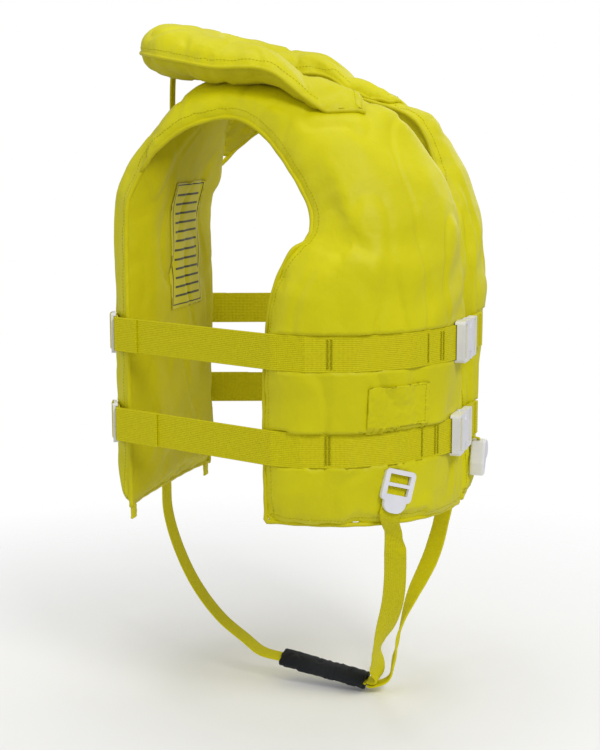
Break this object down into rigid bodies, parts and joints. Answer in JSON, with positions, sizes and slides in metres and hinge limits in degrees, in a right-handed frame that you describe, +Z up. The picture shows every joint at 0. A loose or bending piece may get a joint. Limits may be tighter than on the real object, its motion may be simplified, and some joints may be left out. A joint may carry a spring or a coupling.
{
  "type": "life jacket",
  "caption": "Child's yellow foam life jacket with a head-support collar, front zip, buckled webbing belts and a crotch strap.",
  "frame": {"origin": "on the wearer's centre line at shoulder height, where the shoulders carry the jacket", "axes": "+Z up, the wearer faces -Y and the wearer's right is -X"},
  "size_m": [0.3318, 0.3333, 0.6181],
  "materials": {
    "nylon_cover": "satin",
    "nylon_lining": "satin",
    "foam": "matte",
    "webbing": "matte",
    "white_plastic": "satin",
    "sleeve_fabric": "matte",
    "zip_plastic": "satin",
    "cord": "matte"
  },
  "bodies": {
    "jacket": {"front_right_cover": "nylon_cover", "front_right_foam": "foam", "front_right_lining": "nylon_lining", "front_left_cover": "nylon_cover", "front_left_foam": "foam", "front_left_lining": "nylon_lining", "back_cover": "nylon_cover", "back_foam": "foam", "back_lining": "nylon_lining", "hem_tab_right": "nylon_cover", "hem_tab_left": "nylon_cover", "pocket_patch": "nylon_cover", "care_label": "nylon_lining", "collar_grab_strap": "webbing", "belt_upper_right": "webbing", "belt_upper_left": "webbing", "belt_upper_back": "webbing", "buckle_upper_female": "white_plastic", "belt_lower_right": "webbing", "belt_lower_left": "webbing", "belt_lower_back": "webbing", "buckle_lower_female": "white_plastic", "lock_anchor_web_right": "webbing", "crotch_strap_front_right": "webbing", "lock_anchor_web_left": "webbing", "crotch_strap_front_left": "webbing", "crotch_strap_back": "webbing", "zip_tape_right": "zip_plastic", "zip_tape_left": "zip_plastic"},
    "collar": {"collar_cover": "nylon_cover", "collar_foam": "foam", "collar_underside": "nylon_cover", "collar_neck_web": "nylon_cover"},
    "zip_slider": {"zip_slider": "white_plastic"},
    "zip_pull": {"zip_pull": "white_plastic"},
    "crotch_sleeve": {"crotch_sleeve": "sleeve_fabric"},
    "whistle": {"whistle": "white_plastic", "whistle_cord": "cord"},
    "buckle_upper_male": {"buckle_upper_male": "white_plastic", "buckle_upper_web_tab": "webbing"},
    "latch_arm_upper_top": {"latch_arm_upper_top": "white_plastic"},
    "latch_arm_upper_bottom": {"latch_arm_upper_bottom": "white_plastic"},
    "triglide_upper_right": {"triglide_upper_right": "white_plastic", "tail_upper_right": "webbing"},
    "triglide_upper_left": {"triglide_upper_left": "white_plastic", "tail_upper_left": "webbing"},
    "buckle_lower_male": {"buckle_lower_male": "white_plastic", "buckle_lower_web_tab": "webbing"},
    "latch_arm_lower_top": {"latch_arm_lower_top": "white_plastic"},
    "latch_arm_lower_bottom": {"latch_arm_lower_bottom": "white_plastic"},
    "triglide_lower_right": {"triglide_lower_right": "white_plastic", "tail_lower_right": "webbing"},
    "triglide_lower_left": {"triglide_lower_left": "white_plastic", "tail_lower_left": "webbing"},
    "ladder_lock_right": {"ladder_lock_right": "white_plastic"},
    "ladder_lock_left": {"ladder_lock_left": "white_plastic"}
  },
  "joints": [
    {"name": "collar_fold", "type": "hinge", "parent": "jacket", "child": "collar", "pos_m": [0, 0.067, 0.04], "axis": [1, 0, 0], "range_deg": [-16, 0], "deforming": ["collar_grab_strap"]},
    {"name": "zip_slide", "type": "slide", "parent": "jacket", "child": "zip_slider", "axis": [0, -0.082, -0.9966], "range_m": [0, 0.21]},
    {"name": "zip_pull_flip", "type": "hinge", "parent": "zip_slider", "child": "zip_pull", "pos_m": [0, -0.13947, -0.10197], "axis": [-1, 0, 0], "range_deg": [0, 80]},
    {"name": "sleeve_slide", "type": "slide", "parent": "jacket", "child": "crotch_sleeve", "axis": [0, 0.9867, 0.1625], "range_m": [0, 0.01]},
    {"name": "whistle_swing", "type": "hinge", "parent": "jacket", "child": "whistle", "pos_m": [0.019, -0.166, -0.2845], "axis": [0, 1, 0], "range_deg": [-12, 2]},
    {"name": "buckle_upper_release", "type": "slide", "parent": "jacket", "child": "buckle_upper_male", "axis": [1, 0, 0], "range_m": [0, 0.022]},
    {"name": "squeeze_upper_top", "type": "hinge", "parent": "buckle_upper_male", "child": "latch_arm_upper_top", "pos_m": [-0.026, -0.16387, -0.1782], "axis": [0, -1, 0], "range_deg": [0, 6], "stiffness_Nm_per_rad": 0.05},
    {"name": "squeeze_upper_bottom", "type": "hinge", "parent": "buckle_upper_male", "child": "latch_arm_upper_bottom", "pos_m": [-0.026, -0.16387, -0.1938], "axis": [0, 1, 0], "range_deg": [0, 6], "stiffness_Nm_per_rad": 0.05},
    {"name": "triglide_upper_right_tilt", "type": "hinge", "parent": "jacket", "child": "triglide_upper_right", "pos_m": [-0.08189, 0.15157, -0.186], "axis": [0, 0, -1], "range_deg": [0, 5]},
    {"name": "triglide_upper_left_tilt", "type": "hinge", "parent": "jacket", "child": "triglide_upper_left", "pos_m": [0.08189, 0.15157, -0.186], "axis": [0, 0, 1], "range_deg": [0, 5]},
    {"name": "buckle_lower_release", "type": "slide", "parent": "jacket", "child": "buckle_lower_male", "axis": [1, 0, 0], "range_m": [0, 0.022]},
    {"name": "squeeze_lower_top", "type": "hinge", "parent": "buckle_lower_male", "child": "latch_arm_lower_top", "pos_m": [-0.026, -0.16105, -0.2602], "axis": [0, -1, 0], "range_deg": [0, 6], "stiffness_Nm_per_rad": 0.05},
    {"name": "squeeze_lower_bottom", "type": "hinge", "parent": "buckle_lower_male", "child": "latch_arm_lower_bottom", "pos_m": [-0.026, -0.16105, -0.2758], "axis": [0, 1, 0], "range_deg": [0, 6], "stiffness_Nm_per_rad": 0.05},
    {"name": "triglide_lower_right_tilt", "type": "hinge", "parent": "jacket", "child": "triglide_lower_right", "pos_m": [-0.08201, 0.15147, -0.268], "axis": [0, 0, -1], "range_deg": [0, 5]},
    {"name": "triglide_lower_left_tilt", "type": "hinge", "parent": "jacket", "child": "triglide_lower_left", "pos_m": [0.08201, 0.15147, -0.268], "axis": [0, 0, 1], "range_deg": [0, 5]},
    {"name": "ladder_lock_right_tilt", "type": "hinge", "parent": "jacket", "child": "ladder_lock_right", "pos_m": [-0.11519, -0.12628, -0.28959], "axis": [-0.6853, 0.6743, 0.2751], "range_deg": [0, 18]},
    {"name": "ladder_lock_left_tilt", "type": "hinge", "parent": "jacket", "child": "ladder_lock_left", "pos_m": [0.11519, -0.12628, -0.28959], "axis": [-0.6853, -0.6743, -0.2751], "range_deg": [0, 18]}
  ],
  "couplings": [
    {"joint": "squeeze_upper_bottom", "follows": "squeeze_upper_top", "ratio": 1},
    {"joint": "squeeze_lower_bottom", "follows": "squeeze_lower_top", "ratio": 1}
  ]
}
